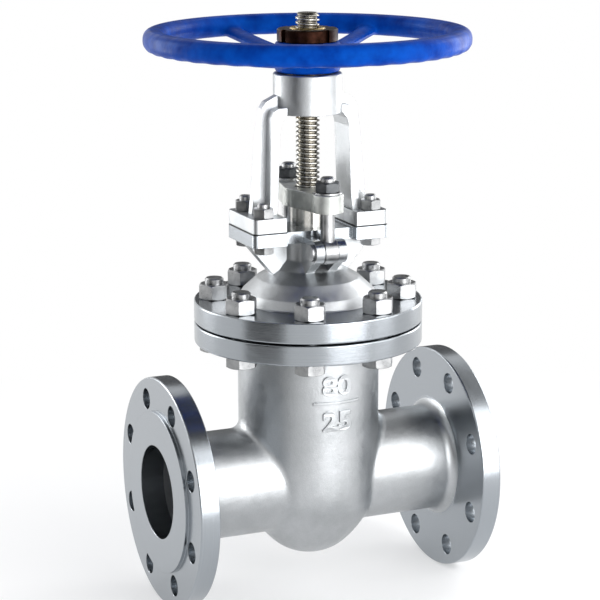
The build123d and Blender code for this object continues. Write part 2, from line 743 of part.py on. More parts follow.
with BuildPart() as handwheel:
    disc(WHEEL_HUB_R, WHEEL_HUB_Z0, WHEEL_HUB_Z1)
    with BuildSketch(Plane.XZ) as section:
        with Locations((XC + RIM_MID_R, RIM_MID_Z)):
            RectangleRounded(RIM_WIDTH, RIM_Z1 - RIM_Z0, RIM_ROUND)
    revolve(axis=Axis((XC, 0, 0), (0, 0, 1)))
    for k in range(SPOKES):
        turn = SPOKE_START + k * 360.0 / SPOKES
        t = math.radians(turn)
        arm = Plane(
            origin=(XC, 0, 0),
            x_dir=(math.cos(t), math.sin(t), 0),
            z_dir=(-math.sin(t), math.cos(t), 0),
        )
        # plane local y points down here, so heights enter with a minus sign
        with BuildSketch(arm.offset(-7.5)) as spoke:
            with BuildLine() as ln:
                Polyline(
                    (20.0, 0 - WHEEL_HUB_Z0 - 3.5),
                    (30.0, 0 - WHEEL_HUB_Z0 - 3.5),
                    (60.0, 0 - WHEEL_HUB_Z0 - 7.5),
                    (95.0, 0 - WHEEL_HUB_Z0 - 13.5),
                    (RIM_MID_R, 0 - RIM_Z0 - 3.5),
                    (RIM_MID_R, 0 - RIM_Z0 - 10.5),
                    (95.0, 0 - WHEEL_HUB_Z0 - 23.5),
                    (60.0, 0 - WHEEL_HUB_Z0 - 17.5),
                    (30.0, 0 - WHEEL_HUB_Z0 - 13.5),
                    (20.0, 0 - WHEEL_HUB_Z0 - 13.5),
                    close=True,
                )
            make_face()
        extrude(amount=15)
    disc(SLEEVE_R, WHEEL_HUB_Z0 - 1, WHEEL_HUB_Z1 + 1, Mode.SUBTRACT)
    keyway = (-SLEEVE_R - 2.2, -SLEEVE_R + 3, WHEEL_HUB_Z0 - 1, WHEEL_HUB_Z1 + 1)
    block(XC - 2.5, XC + 2.5, *keyway, Mode.SUBTRACT)

with BuildPart() as wheel_key:
    block(XC - 2.5, XC + 2.5, -SLEEVE_R - 2.0, -SLEEVE_R + 1.8, KEY_Z0, KEY_Z1)

with BuildPart() as lock_nut:
    # slotted round nut
    disc(LOCK_NUT_R, WHEEL_HUB_Z1, LOCK_NUT_Z1)
    chamfer(lock_nut.edges().filter_by(GeomType.CIRCLE), 0.9)
    with BuildSketch(Plane.XY.offset(WHEEL_HUB_Z1 - 1)) as slots:
        with Locations((XC, 0)):
            with PolarLocations(LOCK_NUT_R, 4, start_angle=LOCK_SLOT_START):
                Rectangle(6.0, LOCK_SLOT_W)
    extrude(amount=LOCK_NUT_Z1 - WHEEL_HUB_Z1 + 2, mode=Mode.SUBTRACT)
    disc(SLEEVE_R, WHEEL_HUB_Z1 - 1, LOCK_NUT_Z1 + 1, Mode.SUBTRACT)


# ---- write the parts ----------------------------------------------------
NODES = {
    "seat_ring_inlet": seat_ring_inlet,
    "seat_ring_outlet": seat_ring_outlet,
    "gate": gate,
    "stem": stem,
    "bonnet_gasket": bonnet_gasket,
    "bonnet": bonnet,
    "bonnet_bolts": bonnet_bolts,
    "bonnet_nuts": bonnet_nuts,
    "backseat_bushing": backseat_bushing,
    "packing_washer": packing_washer,
    "gland": gland,
    "gland_flange": gland_flange,
    "gland_washers": gland_washers,
    "yoke": yoke,
    "yoke_bolts": yoke_bolts,
    "yoke_nuts": yoke_nuts,
    "thrust_washer_lower": thrust_washer_lower,
    "thrust_washer_upper": thrust_washer_upper,
    "yoke_retainer_ring": yoke_retainer_ring,
    "stem_nut": stem_nut,
    "handwheel": handwheel,
    "wheel_key": wheel_key,
    "lock_nut": lock_nut,
}
NODES.update(SWING)
for k, packing in enumerate(PACKING):
    NODES["packing_ring_" + str(k + 1)] = packing

for name, node in NODES.items():
    node.part.label = name
    export_step(node.part, "parts/" + name + ".step")
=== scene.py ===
# %% [markdown]
# # A flanged gate valve
# The real valve is a set of stainless castings, machined where they seal or
# bolt together, with a blue cast handwheel on top. The engineering model is
# loaded first as a fixed frame. Every position below is read from it, so the
# looks can never drift away from the parts that move.

# %% Load the frame
import bmesh
import bpy
import math
import numpy as np
from mathutils import Matrix, Vector


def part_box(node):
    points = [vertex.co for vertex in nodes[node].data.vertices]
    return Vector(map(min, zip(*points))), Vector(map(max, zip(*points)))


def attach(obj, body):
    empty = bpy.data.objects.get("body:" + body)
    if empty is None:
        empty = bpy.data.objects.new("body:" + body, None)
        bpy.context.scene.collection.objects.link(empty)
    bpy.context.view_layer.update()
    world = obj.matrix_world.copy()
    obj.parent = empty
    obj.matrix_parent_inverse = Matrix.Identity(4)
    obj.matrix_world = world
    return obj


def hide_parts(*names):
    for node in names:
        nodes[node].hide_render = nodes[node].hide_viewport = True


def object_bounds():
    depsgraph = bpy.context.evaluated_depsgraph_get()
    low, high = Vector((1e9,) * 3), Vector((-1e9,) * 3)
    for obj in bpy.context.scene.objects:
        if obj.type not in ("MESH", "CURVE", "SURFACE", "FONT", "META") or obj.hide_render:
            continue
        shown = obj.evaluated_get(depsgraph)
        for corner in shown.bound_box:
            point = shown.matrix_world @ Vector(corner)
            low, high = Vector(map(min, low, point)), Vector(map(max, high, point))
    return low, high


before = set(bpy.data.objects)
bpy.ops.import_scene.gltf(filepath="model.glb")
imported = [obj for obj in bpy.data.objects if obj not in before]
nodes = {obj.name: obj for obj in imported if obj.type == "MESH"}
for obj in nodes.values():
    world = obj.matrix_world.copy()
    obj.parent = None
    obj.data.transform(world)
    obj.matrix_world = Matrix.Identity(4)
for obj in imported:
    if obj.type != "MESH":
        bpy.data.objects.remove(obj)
cad_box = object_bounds()
print("nodes", len(nodes), "box", [round(v, 4) for c in cad_box for v in c])

# %% [markdown]
# ## Where things are
# The stem axis is the line that almost everything is turned about. Reading it
# from the handwheel's box is safer than typing it in, because it follows the
# model if a size changes.

# %% The stem axis and a few heights
MM = 0.001


def span(node, axis):
    """Lowest and highest coordinate of a node along one axis."""
    low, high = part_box(node)
    return low[axis], high[axis]


AXIS_X = sum(span("lock_nut", 0)) / 2
AXIS_Y = sum(span("lock_nut", 1)) / 2
print("stem axis", round(AXIS_X, 4), round(AXIS_Y, 4))

# %% [markdown]
# ## From arrays to meshes
# A turned or swept shape is a grid of points: one direction runs round it and
# the other along it. Working the whole grid out with numpy keeps each shape
# down to its formula. A face then joins each point to its three neighbours.
# The other way, adding primitives and editing them, hides the measurements.

# %% Turn a grid of points into a mesh object


def grid_faces(rows, cols, wrap_rows, wrap_cols):
    """Quads of a grid: each joins a point to the next row and next column."""
    r = np.arange(rows if wrap_rows else rows - 1)
    c = np.arange(cols if wrap_cols else cols - 1)
    r, c = np.meshgrid(r, c, indexing="ij")
    r2, c2 = (r + 1) % rows, (c + 1) % cols
    quads = np.stack([r * cols + c, r * cols + c2, r2 * cols + c2, r2 * cols + c], -1)
    return quads.reshape(-1, 4)


def mesh_object(name, points, faces, smooth=True):
    """A mesh object at the origin with these points and faces."""
    mesh = bpy.data.meshes.new(name)
    mesh.from_pydata(points.tolist(), [], [list(map(int, f)) for f in faces])
    mesh.validate()
    mesh.polygons.foreach_set("use_smooth", [smooth] * len(mesh.polygons))
    obj = bpy.data.objects.new(name, mesh)
    bpy.context.scene.collection.objects.link(obj)
    return obj


def joined(parts):
    """Several (points, faces) pairs as one pair."""
    points, faces, start = [], [], 0
    for p, f in parts:
        points.append(p)
        faces.extend((np.asarray(q) + start).tolist() for q in f)
        start += len(p)
    return np.concatenate(points), faces


def turned(profile, centre, steps=96):
    """A closed (radius, height) profile carried round an upright axis."""
    angle = np.linspace(0, 2 * np.pi, steps, endpoint=False)
    r, z = np.asarray(profile, float).T
    x = centre[0] + np.outer(np.cos(angle), r)
    y = centre[1] + np.outer(np.sin(angle), r)
    points = np.stack([x, y, np.broadcast_to(z, x.shape)], -1).reshape(-1, 3)
    return points, grid_faces(steps, len(r), True, True)


def outward(obj):
    """Faces point outwards after their doubles are merged."""
    bm = bmesh.new()
    bm.from_mesh(obj.data)
    bmesh.ops.remove_doubles(bm, verts=bm.verts, dist=1e-6)
    bmesh.ops.recalc_face_normals(bm, faces=bm.faces)
    bm.to_mesh(obj.data)
    bm.free()
    return obj


# %% [markdown]
# ## Building materials from nodes
# Each finish here is a small graph of nodes. A few helpers keep the graphs
# readable: each adds one kind of node, fills its sockets and hands back its
# result. Patterns read object coordinates, which are metres in the same
# frame as the model, so a grain of 1 mm is a grain of 1 mm on every piece.

# %% Helpers for node graphs


class Graph:
    """A material's node tree with one Principled shader."""

    def __init__(self, name, **shader):
        self.mat = bpy.data.materials.new(name)
        self.mat.use_nodes = True
        self.tree = self.mat.node_tree
        self.bsdf = self.tree.nodes["Principled BSDF"]
        for socket, value in shader.items():
            self.bsdf.inputs[socket.replace("_", " ")].default_value = value
        self.where = self.add("ShaderNodeTexCoord").outputs["Object"]

    def add(self, kind, settings=None, **sockets):
        """A node with its settings and sockets; a socket may be linked."""
        node = self.tree.nodes.new(kind)
        for key, value in (settings or {}).items():
            setattr(node, key, value)
        for key, value in sockets.items():
            self.plug(node.inputs[key.replace("_", " ")], value)
        return node

    def plug(self, socket, value):
        """A link if value is a socket, otherwise a fixed value."""
        if isinstance(value, bpy.types.NodeSocket):
            self.tree.links.new(value, socket)
        else:
            socket.default_value = value

    def math(self, operation, a, b=0.0):
        """One Math node."""
        node = self.tree.nodes.new("ShaderNodeMath")
        node.operation = operation
        self.plug(node.inputs[0], a)
        self.plug(node.inputs[1], b)
        return node.outputs[0]

    def noise(self, scale, detail=2.0, rough=0.5, vector=None):
        """Noise from 0 to 1 with features of about 1 / scale metres."""
        node = self.add(
            "ShaderNodeTexNoise",
            Vector=vector or self.where,
            Scale=scale,
            Detail=detail,
            Roughness=rough,
        )
        return node.outputs["Fac"]

    def spread(self, value, low, high, to_low=0.0, to_high=1.0):
        """value taken from the range low..high to the range to_low..to_high."""
        node = self.add("ShaderNodeMapRange", Value=value)
        for key, number in zip(
            ("From Min", "From Max", "To Min", "To Max"), (low, high, to_low, to_high)
        ):
            node.inputs[key].default_value = number
        return node.outputs["Result"]

    def between(self, mask, a, b):
        """A number that is a where mask is 0 and b where it is 1."""
        node = self.tree.nodes.new("ShaderNodeMix")
        self.plug(node.inputs[0], mask)
        self.plug(node.inputs[2], a)
        self.plug(node.inputs[3], b)
        return node.outputs[0]

    def tint(self, mask, a, b):
        """A colour that is a where mask is 0 and b where it is 1."""
        node = self.tree.nodes.new("ShaderNodeMix")
        node.data_type = "RGBA"
        self.plug(node.inputs[0], mask)
        for socket, value in ((node.inputs[6], a), (node.inputs[7], b)):
            self.plug(socket, value if not isinstance(value, tuple) else (*value, 1.0))
        return node.outputs[2]

    def bump(self, height, distance, strength=1.0, under=None):
        """Small relief: height 0 to 1 stands for distance in metres."""
        node = self.add("ShaderNodeBump", Height=height, Strength=strength)
        node.inputs["Distance"].default_value = distance
        if under is not None:
            self.plug(node.inputs["Normal"], under)
        return node.outputs["Normal"]

    def finish(self, colour=None, rough=None, normal=None):
        """Joins the results to the shader."""
        for key, value in (
            ("Base Color", colour),
            ("Roughness", rough),
            ("Normal", normal),
        ):
            if value is not None:
                self.plug(self.bsdf.inputs[key], value)
        return self.mat


def coordinates(g):
    """The x, y and z of a point as three sockets."""
    split = g.add("ShaderNodeSeparateXYZ", Vector=g.where)
    return split.outputs["X"], split.outputs["Y"], split.outputs["Z"]


def radius_about(g, a, b, a0, b0):
    """Distance of a point from an axis through (a0, b0)."""
    da = g.math("SUBTRACT", a, a0)
    db = g.math("SUBTRACT", b, b0)
    return g.math("SQRT", g.math("ADD", g.math("MULTIPLY", da, da), g.math("MULTIPLY", db, db)))


# %% [markdown]
# ## Blasted castings with machined faces
# A stainless casting leaves its mould with a coarse sand skin. It is blasted
# with grit, which makes it an even, sparkling grey, and then only the faces
# that seal or bolt are turned bright. One graph holds both finishes, and a
# mask made from the coordinates says where the lathe has been. Two separate
# materials would need the faces sorted by hand. A dark band of painted shade
# goes over both castings at the height of the joint under the yoke's feet,
# where the seam between the two parts would be in shade.

# %% The finish of the castings
SKIN_DARK = (0.375, 0.39, 0.40)
SKIN_LIGHT = (0.51, 0.525, 0.54)
TURNED_DARK = (0.33, 0.355, 0.38)
TURNED_LIGHT = (0.39, 0.415, 0.44)
# Painted shade: the near-black of the seam where the yoke's feet sit on the bonnet.
PAINTED_SEAM_SHADE = (0.03, 0.031, 0.033)
EDGE_ROUND = 0.9 * MM
GRIT, GRAIN, SWELL, BLOTCH = 1100.0, 170.0, 38.0, 22.0  # features in a metre
TURNING = 1500.0


def casting(name, mask_of, ring_of, seam=None):
    """mask_of: 1 where machined; ring_of: lathe radius; seam: height of the joint that gets a band of
    painted shade.
    """
    g = Graph(name, Metallic=1.0)
    cut = mask_of(g)
    grit = g.noise(GRIT, 3.0, 0.65)
    skin = g.noise(GRAIN, 4.0, 0.6)
    swell = g.noise(SWELL, 3.0, 0.5)
    blotch = g.noise(BLOTCH, 5.0, 0.6)
    across = g.add("ShaderNodeCombineXYZ", X=g.math("MULTIPLY", ring_of(g), TURNING))
    rings = g.noise(1.0, 2.0, 0.6, vector=across.outputs[0])
    mixed = g.math("ADD", g.math("MULTIPLY", blotch, 0.7), g.math("MULTIPLY", grit, 0.3))
    stain = g.spread(mixed, 0.35, 0.65)
    cast_colour = g.tint(stain, SKIN_DARK, SKIN_LIGHT)
    turned_colour = g.tint(g.spread(rings, 0.3, 0.7), TURNED_DARK, TURNED_LIGHT)
    colour = g.tint(cut, cast_colour, turned_colour)
    # Painted shade: a near-black band about a millimetre either side of the seam height.
    if seam is not None:
        off = g.math("ABSOLUTE", g.math("SUBTRACT", coordinates(g)[2], seam))
        colour = g.tint(g.spread(off, 0.4 * MM, 1.0 * MM), PAINTED_SEAM_SHADE, colour)
    rough = g.between(
        cut,
        g.spread(skin, 0.3, 0.7, 0.30, 0.45),
        g.spread(rings, 0.3, 0.7, 0.19, 0.27),
    )
    edge = g.add("ShaderNodeBevel", {"samples": 4}, Radius=EDGE_ROUND).outputs[0]
    low = g.bump(swell, 0.0006, 0.3, edge)
    mid = g.bump(skin, 0.0003, g.between(cut, 0.55, 0.05), low)
    fine = g.bump(grit, 0.00018, g.between(cut, 0.8, 0.06), mid)
    normal = g.bump(rings, 0.00006, g.between(cut, 0.0, 0.16), fine)
    return g.finish(colour, rough, normal)


FLANGE_T = 20.4 * MM
TOP_FLANGE_T = 17.2 * MM
PLATE_T = 11.4 * MM
FLANGE_X = (span("body", 0)[0] + FLANGE_T, span("body", 0)[1] - FLANGE_T)
BODY_FLANGE_LOW = span("bonnet_gasket", 2)[0] - TOP_FLANGE_T
BONNET_FLANGE_TOP = span("bonnet_nuts", 2)[0]
FOOT_JOINT = span("yoke", 2)[0]


def body_mask(g):
    """1 on the pipe flanges, the top flange and the bores within them."""
    x, _, z = coordinates(g)
    ends = g.math("ADD", g.math("LESS_THAN", x, FLANGE_X[0]), g.math("GREATER_THAN", x, FLANGE_X[1]))
    top = g.math("GREATER_THAN", z, BODY_FLANGE_LOW)
    return g.math("MINIMUM", g.math("ADD", ends, top), 1.0)


def body_rings(g):
    """Rings about the pipe at the ends, and about the stem at the top."""
    x, y, z = coordinates(g)
    top = g.math("GREATER_THAN", z, BODY_FLANGE_LOW)
    pipe = g.math("ADD", radius_about(g, y, z, 0.0, 0.0), x)
    stem = g.math("ADD", radius_about(g, x, y, AXIS_X, AXIS_Y), z)
    return g.between(top, pipe, stem)


def stem_rings(g):
    """Rings about the stem axis, shifted with height."""
    x, y, z = coordinates(g)
    return g.math("ADD", radius_about(g, x, y, AXIS_X, AXIS_Y), z)


def bonnet_mask(g):
    """1 on the joint flange and on the flat top plate."""
    z = coordinates(g)[2]
    flange = g.math("LESS_THAN", z, BONNET_FLANGE_TOP + 0.3 * MM)
    top = g.math("GREATER_THAN", z, FOOT_JOINT - PLATE_T)
    return g.math("MINIMUM", g.math("ADD", flange, top), 1.0)


def yoke_mask(g):
    """1 on the milled undersides of the feet."""
    z = coordinates(g)[2]
    return g.math("LESS_THAN", z, FOOT_JOINT + 0.1 * MM)


BODY_STEEL = casting("body_steel", body_mask, body_rings)
BONNET_STEEL = casting("bonnet_steel", bonnet_mask, stem_rings, FOOT_JOINT)
YOKE_STEEL = casting("yoke_steel", yoke_mask, stem_rings, FOOT_JOINT)
print("castings ready")

# %% [markdown]
# ## Turned and plated steel
# Bolts, nuts, the stem and the gland are bar stock. Their look is mostly a
# clean highlight broken by fine tool marks and a little handling wear, so the
# graph needs only a stretched noise and a weak bump. The roots of the stem's
# thread get painted shade: there the colour darkens with the radius.

# %% The finish of bar stock
BAR_EDGE = 0.4 * MM
ROOT_FADE = 1.3 * MM
STRETCH = (1.0, 1.0, 9.0)


def bar_stock(name, dark, light, rough_low, rough_high, mark=0.00004, root=None):
    """Metal with tool marks; root is (radius, colour) of the painted shade in thread roots."""
    g = Graph(name, Metallic=1.0)
    streak = g.add("ShaderNodeMapping", Vector=g.where)
    streak.inputs["Scale"].default_value = STRETCH
    marks = g.noise(420.0, 3.0, 0.6, streak.outputs[0])
    cloud = g.noise(95.0, 4.0, 0.6)
    grime = g.spread(cloud, 0.38, 0.66)
    colour = g.tint(grime, dark, light)
    rough = g.spread(g.math("ADD", marks, cloud), 0.7, 1.3, rough_low, rough_high)
    # Painted shade: below the given radius the colour darkens towards the root colour.
    if root:
        x, y, _ = coordinates(g)
        radius = radius_about(g, x, y, AXIS_X, AXIS_Y)
        crest = g.spread(radius, root[0] - ROOT_FADE, root[0])
        colour = g.tint(crest, root[1], colour)
    edge = g.add("ShaderNodeBevel", {"samples": 4}, Radius=BAR_EDGE).outputs[0]
    return g.finish(colour, rough, g.bump(marks, mark, 0.5, edge))


BOLT_STEEL = bar_stock("bolt_steel", (0.28, 0.285, 0.29), (0.44, 0.445, 0.45), 0.24, 0.42)
DARK_STEEL = bar_stock("dark_steel", (0.045, 0.048, 0.052), (0.11, 0.115, 0.12), 0.40, 0.55)
STAINLESS = bar_stock("turned_stainless", (0.56, 0.55, 0.52), (0.72, 0.70, 0.66), 0.16, 0.30)
# Painted shade in the roots of the stem's thread: radius and colour.
STEM_ROOT_SHADE = (9.7 * MM, (0.20, 0.185, 0.155))
STEM_STEEL = bar_stock("stem_steel", (0.42, 0.41, 0.37), (0.60, 0.59, 0.55), 0.20, 0.34, root=STEM_ROOT_SHADE)
GLAND_STEEL = bar_stock("gland_steel", (0.44, 0.455, 0.44), (0.60, 0.615, 0.59), 0.36, 0.52, 0.00012)
GATE_STEEL = bar_stock("gate_steel", (0.34, 0.34, 0.35), (0.50, 0.50, 0.51), 0.34, 0.50, 0.00015)
BROWN_BRONZE = bar_stock("brown_bronze", (0.012, 0.005, 0.003), (0.050, 0.020, 0.013), 0.30, 0.48)
BRASS = bar_stock("nut_brass", (0.55, 0.40, 0.17), (0.80, 0.64, 0.32), 0.18, 0.34)
print("bar stock finishes ready")

# %% [markdown]
# ## Graphite
# Packing rings and the joint gasket are pressed graphite: nearly black, matt,
# with a woven ribbon faintly showing. They sit inside the valve, where only a
# cutaway shows them.

# %% The finish of the packing


def graphite():
    """Dark matt graphite with a faint weave."""
    g = Graph("graphite", Metallic=0.25)
    weave = g.add("ShaderNodeTexWave", {"wave_profile": "TRI"}, Vector=g.where, Scale=240.0, Distortion=2.0)
    flakes = g.noise(700.0, 3.0, 0.6)
    colour = g.tint(flakes, (0.035, 0.035, 0.038), (0.11, 0.11, 0.115))
    rough = g.spread(flakes, 0.3, 0.7, 0.45, 0.62)
    return g.finish(colour, rough, g.bump(weave.outputs["Fac"], 0.0002, 0.5))


GRAPHITE = graphite()
print("packing finish ready")

# %% [markdown]
# ## Blue enamel
# The handwheel is cast iron dipped in thick gloss paint. Paint pools in the
# corners and thins on the ridges, so the blue varies a little, and the cast
# surface below still shows as a gentle unevenness under a smooth clear gloss.
# A blue tint on the highlight stands for the glassy depth of such paint.

# %% The finish of the handwheel


def blue_enamel():
    """Thick gloss paint over a cast surface."""
    g = Graph("blue_enamel", Specular_IOR_Level=0.10, Specular_Tint=(0.03, 0.50, 1.0, 1.0))
    pool = g.noise(55.0, 3.0, 0.55)
    lumps = g.noise(140.0, 3.0, 0.6)
    peel = g.noise(620.0, 2.0, 0.5)
    colour = g.tint(g.spread(pool, 0.3, 0.7), (0.001, 0.022, 0.20), (0.002, 0.060, 0.38))
    rough = g.spread(lumps, 0.3, 0.7, 0.30, 0.44)
    low = g.bump(lumps, 0.0006, 0.6)
    return g.finish(colour, rough, g.bump(peel, 0.00006, 0.5, low))


BLUE = blue_enamel()
print("enamel ready")

# %% [markdown]
# ## Dress the engineering parts
# Pieces whose shape is already right only need their finish. A table of node
# names and finishes is shorter than a call for each, and easy to check.

# %% Give every node its finish
FINISH = {
    "body": BODY_STEEL,
    "bonnet": BONNET_STEEL,
    "yoke": YOKE_STEEL,
    "stem": STEM_STEEL,
    "gate": GATE_STEEL,
    "gland": STAINLESS,
    "gland_flange": GLAND_STEEL,
    "gland_washers": BOLT_STEEL,
    "lock_nut": BROWN_BRONZE,
    "stem_nut": BRASS,
    "handwheel": BLUE,
    "bonnet_gasket": GRAPHITE,
    "yoke_retainer_ring": DARK_STEEL,
}
STARTS = {
    "bonnet_bolts": BOLT_STEEL,
    "bonnet_nuts": BOLT_STEEL,
    "yoke_bolts": BOLT_STEEL,
    "yoke_nuts": BOLT_STEEL,
    "eyebolt": BOLT_STEEL,
    "gland_nut": DARK_STEEL,
    "packing_ring": GRAPHITE,
}


def finish_of(node):
    """The finish of a node, by its whole name or by how its name starts."""
    if node in FINISH:
        return FINISH[node]
    for start, mat in STARTS.items():
        if node.startswith(start):
            return mat
    return STAINLESS


for node, obj in nodes.items():
    obj.data.materials.clear()
    obj.data.materials.append(finish_of(node))
print("dressed", len(nodes))

# %% [markdown]
# ## The threaded stem
# The stem carries a left-hand trapezoidal thread: flat crests, flat roots and
# sloping flanks, 4 mm from turn to turn. On a grid of angle and height the
# thread is only a rule for the radius, so the whole stem is one surface. A
# sweep along a helix would give the same shape with many seams.

# %% The stem as one surface
STEM_LOW, STEM_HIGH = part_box("stem")
STEM_R = 10.0 * MM
PITCH = 4.0 * MM
DEPTH = 1.9 * MM
GROOVE_HALF = 0.345  # of the pitch, at the crest
FLANK = 0.16  # of the pitch, from crest to root
STEM_SIDES = 64
SHANK_ROWS = 170
THREAD_STEP = 0.25 * MM
TIP_INSET = 2.0 * MM
COLLAR_HALF = 3.0 * MM
THREAD_FROM = 238.0 * MM
SHANK_FROM = STEM_LOW.z + 8.0 * MM
COLLAR_R = (STEM_HIGH.x - STEM_LOW.x) / 2
COLLAR_Z = STEM_LOW.z + 26.0 * MM


def stem_radius(angle, z):
    """Crest radius less a trapezoid of the phase z / pitch + angle / turn."""
    phase = (z / PITCH + angle / (2 * np.pi)) % 1.0
    from_root = np.abs(phase - 0.5)
    groove = np.clip((GROOVE_HALF - from_root) / FLANK, 0, 1) * DEPTH
    fade = np.clip((z - THREAD_FROM) / PITCH, 0, 1)
    r = STEM_R - groove * fade
    tip = STEM_HIGH.z - z
    r = np.minimum(r, STEM_R - TIP_INSET + tip * 0.75)
    collar = np.where(np.abs(z - COLLAR_Z) < COLLAR_HALF, COLLAR_R, 0)
    over = z - COLLAR_Z - COLLAR_HALF
    cone = np.where(z >= COLLAR_Z + COLLAR_HALF, COLLAR_R - over, 0)
    return np.maximum(r, np.maximum(collar, cone))


def stem_surface():
    """Rows of constant height, closed by a point at each end."""
    coarse = np.linspace(SHANK_FROM, THREAD_FROM, SHANK_ROWS, endpoint=False)
    fine = np.arange(THREAD_FROM, STEM_HIGH.z, THREAD_STEP)
    z = np.concatenate([coarse, fine, [STEM_HIGH.z]])[:, None]
    angle = np.linspace(0, 2 * np.pi, STEM_SIDES, endpoint=False)[None, :]
    r = stem_radius(angle, z)
    points = np.stack([AXIS_X + r * np.cos(angle), AXIS_Y + r * np.sin(angle), z + 0 * r], -1)
    faces = grid_faces(len(z), STEM_SIDES, False, True).tolist()
    faces.append(list(range(STEM_SIDES)))
    faces.append(list(range((len(z) - 1) * STEM_SIDES, len(z) * STEM_SIDES)))
    return points.reshape(-1, 3), faces


def slab(x, y, z0, z1):
    """An upright block, x and y being its half widths."""
    corner = np.array([(-x, -y), (x, -y), (x, y), (-x, y)])
    low = np.column_stack([corner + (AXIS_X, AXIS_Y), np.full(4, z0)])
    high = np.column_stack([corner + (AXIS_X, AXIS_Y), np.full(4, z1)])
    sides = [[k, (k + 1) % 4, (k + 1) % 4 + 4, k + 4] for k in range(4)]
    faces = [[3, 2, 1, 0], [4, 5, 6, 7]] + sides
    return np.concatenate([low, high]), faces


T_HEAD = (9 * MM, 13 * MM)
T_HEAD_LAP = 0.2 * MM

stem_points, stem_faces = joined(
    [
        stem_surface(),
        slab(*T_HEAD, STEM_LOW.z, SHANK_FROM + T_HEAD_LAP),
    ]
)
stem = outward(mesh_object("threaded_stem", stem_points, stem_faces))
stem.data.materials.append(STEM_STEEL)
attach(stem, "stem_assembly")
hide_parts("stem")
print("stem faces", len(stem.data.polygons))

# %% [markdown]
# ## The handwheel
# The real wheel is one iron casting: a rim, six spokes that rise from the hub,
# and generous fillets wherever they meet. Rim, spokes and hub are first made
# as overlapping shapes. A voxel remesh then fuses them into one skin, and a
# smoothing pass rounds the corners the way sand casting does. Filleting such
# joints by hand would take far longer.

# %% Rim, spokes and hub as formulas
WHEEL_LOW, WHEEL_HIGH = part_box("handwheel")
WHEEL_R = (WHEEL_HIGH.x - WHEEL_LOW.x) / 2
RIM_WIDE, RIM_TALL = 19.0 * MM, 18.5 * MM
RIM_TOP = WHEEL_HIGH.z
HUB_BASE = WHEEL_LOW.z
SKIRT = 1.7 * MM
HUB_TOP = span("lock_nut", 2)[0]
HUB_R = 27.5 * MM
BORE_R = 15.0 * MM
RIM_STEPS, RIM_SIDES = 360, 40
RIPPLE, GRIPS = 0.8 * MM, 42
SPOKE_STEPS, SPOKE_SIDES = 40, 24
print("wheel radius", round(WHEEL_R, 4), "hub top", round(HUB_TOP, 4))


def rim():
    """A ring whose section is a rounded box; ripples run round its lower edge."""
    angle = np.linspace(0, 2 * np.pi, RIM_STEPS, endpoint=False)[:, None]
    turn = np.linspace(0, 2 * np.pi, RIM_SIDES, endpoint=False)[None, :]
    squarish = 0.82
    cos, sin = np.cos(turn), np.sin(turn)
    across = np.sign(cos) * np.abs(cos) ** squarish
    up = np.sign(sin) * np.abs(sin) ** squarish
    below = np.clip(-up, 0, 1) * np.clip(0.4 + across, 0, 1)
    ripple = RIPPLE * below * (0.5 + 0.5 * np.sin(GRIPS * angle))
    r = WHEEL_R - RIM_WIDE / 2 + across * RIM_WIDE / 2 + 0 * angle
    z = RIM_TOP - RIM_TALL / 2 + up * RIM_TALL / 2 + ripple
    points = np.stack(
        [AXIS_X + r * np.cos(angle), AXIS_Y + r * np.sin(angle), z + 0 * angle], -1
    )
    return points.reshape(-1, 3), grid_faces(RIM_STEPS, RIM_SIDES, True, True)


def spoke(turn_deg):
    """An oval section carried outwards while it rises; both ends flare."""
    t = np.linspace(0, 1, SPOKE_STEPS)[:, None]
    a = np.linspace(0, 2 * np.pi, SPOKE_SIDES, endpoint=False)[None, :]
    r = (18.0 + 107.0 * t) * MM
    lift = (7.8 + 8.6 * t + 6.0 * t**2) * MM
    flare = 1.0 + 0.55 * np.exp(-t / 0.12) + 0.35 * np.exp(-(1 - t) / 0.10)
    half_wide = 8.0 * MM * flare
    half_tall = 4.9 * MM * (1.0 + 0.25 * (flare - 1.0))
    side = half_wide * np.cos(a)
    high = HUB_BASE + lift + half_tall * np.sin(a)
    c, s = math.cos(math.radians(turn_deg)), math.sin(math.radians(turn_deg))
    x = AXIS_X + r * c - side * s
    y = AXIS_Y + r * s + side * c
    points = np.stack([x, y, high], -1).reshape(-1, 3)
    faces = grid_faces(SPOKE_STEPS, SPOKE_SIDES, False, True).tolist()
    faces.append(list(range(SPOKE_SIDES - 1, -1, -1)))
    faces.append(list(range((SPOKE_STEPS - 1) * SPOKE_SIDES, SPOKE_STEPS * SPOKE_SIDES)))
    return points, faces


def hub():
    """A short turned barrel with a bevelled rim, bored for the stem nut."""
    b = 1.6 * MM
    profile = [
        (BORE_R, HUB_BASE - SKIRT),
        (HUB_R - b, HUB_BASE - SKIRT),
        (HUB_R, HUB_BASE - SKIRT + b),
        (HUB_R, HUB_TOP - b),
        (HUB_R - b, HUB_TOP),
        (BORE_R, HUB_TOP),
    ]
    return turned(profile, (AXIS_X, AXIS_Y), 72)


# %% Fuse the wheel and round its corners
FIRST_SPOKE = 40.0
SPOKES = 6
VOXEL = 1.15 * MM
SMOOTH_PASSES = 10


def apply_modifiers(obj):
    """Makes the modifiers' result the object's own mesh."""
    graph = bpy.context.evaluated_depsgraph_get()
    result = bpy.data.meshes.new_from_object(obj.evaluated_get(graph))
    obj.modifiers.clear()
    obj.data = result
    return obj


def fuse(obj, voxel, passes):
    """Voxel remesh, then smoothing, both applied."""
    remesh = obj.modifiers.new("fuse", "REMESH")
    remesh.mode = "VOXEL"
    remesh.voxel_size = voxel
    remesh.use_smooth_shade = True
    soften = obj.modifiers.new("soften", "SMOOTH")
    soften.factor = 0.5
    soften.iterations = passes
    return apply_modifiers(obj)


